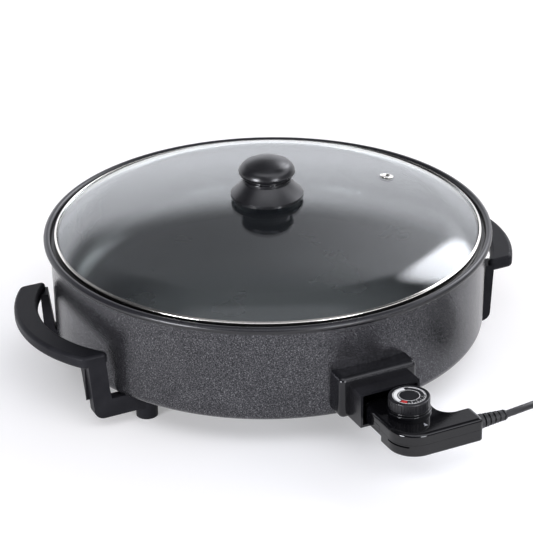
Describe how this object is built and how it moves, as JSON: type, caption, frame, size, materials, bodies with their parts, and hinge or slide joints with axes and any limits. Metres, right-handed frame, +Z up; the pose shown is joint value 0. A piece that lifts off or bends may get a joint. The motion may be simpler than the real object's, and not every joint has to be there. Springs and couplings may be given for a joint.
{
  "type": "electric skillet",
  "caption": "Round electric pan with a lift-off domed glass lid, two side handles with feet, and a plug-in thermostat controller on a lead.",
  "frame": {"origin": "on the table, under the middle of the object's box without its lead (the pan's own axis is at y = +46 mm)", "axes": "+Z up out of the table; -Y towards the controller at the front; +X towards the right handle"},
  "size_m": [0.5303, 0.605, 0.1938],
  "materials": {
    "granite_coating": "hammered non-stick coating over cast aluminium, satin black rim and inside",
    "black_phenolic": "moulded phenolic, satin",
    "black_gloss": "moulded, glossy",
    "dial_black": "moulded, knurled side",
    "dial_print": "printed plate with a plain scale",
    "lid_glass": "clear tempered glass",
    "stainless": "polished stainless strip",
    "steel_zinc": "zinc plated steel",
    "heater_sheath": "heat-tinted steel sheath",
    "aluminium_plate": "pressed aluminised sheet",
    "brass": "turned brass",
    "ceramic": "steatite ceramic",
    "silicone": "silicone rubber",
    "black_rubber": "moulded flexible PVC and rubber"
  },
  "bodies": {
    "pan": {"vessel": "granite_coating", "heating_element": "heater_sheath", "heater_end_seals": "ceramic", "heater_clips": "steel_zinc", "clip_screws": "steel_zinc", "heat_shield": "aluminium_plate", "shield_screws": "steel_zinc", "terminal_pins": "stainless", "terminal_block": "ceramic", "probe_well": "aluminium_plate", "well_screw": "steel_zinc", "socket_housing": "black_phenolic", "socket_screws": "steel_zinc", "handle_left": "black_phenolic", "handle_right": "black_phenolic", "handle_screws": "steel_zinc"},
    "lid": {"lid_glass": "lid_glass", "lid_band": "stainless", "vent_eyelet": "stainless", "knob_cap": "black_phenolic", "knob_skirt": "black_phenolic", "knob_gasket": "silicone", "knob_seal": "silicone", "knob_washer": "steel_zinc", "knob_screw": "steel_zinc", "knob_insert": "brass"},
    "controller": {"controller_top": "black_gloss", "controller_base": "black_gloss", "controller_screws": "steel_zinc", "sensing_probe": "stainless", "contact_sleeves": "brass", "thermostat_frame": "steel_zinc", "thermostat_bushing": "brass", "stack_washers": "ceramic", "contact_blades": "brass", "contact_points": "stainless", "stack_rivet": "steel_zinc", "cord_guard": "black_rubber", "mains_cord": "black_rubber", "cord_coil": "black_rubber", "cord_tail": "black_rubber", "cord_tie": "black_rubber", "plug_body": "black_rubber", "plug_pins": "stainless", "plug_earth_strips": "stainless"},
    "dial": {"dial_knob": "dial_black", "dial_plate": "dial_print", "dial_spindle": "brass"}
  },
  "joints": [
    {"name": "lid_lift", "type": "slide", "parent": "pan", "child": "lid", "axis": [0, 0, 1], "range_m": [0, 0.15]},
    {"name": "controller_unplug", "type": "slide", "parent": "pan", "child": "controller", "axis": [0, -1, 0], "range_m": [0, 0.1]},
    {"name": "dial_turn", "type": "hinge", "parent": "controller", "child": "dial", "pos_m": [0.0075, -0.213, 0.064], "axis": [0, 0, -1], "range_deg": [0, 270]}
  ]
}
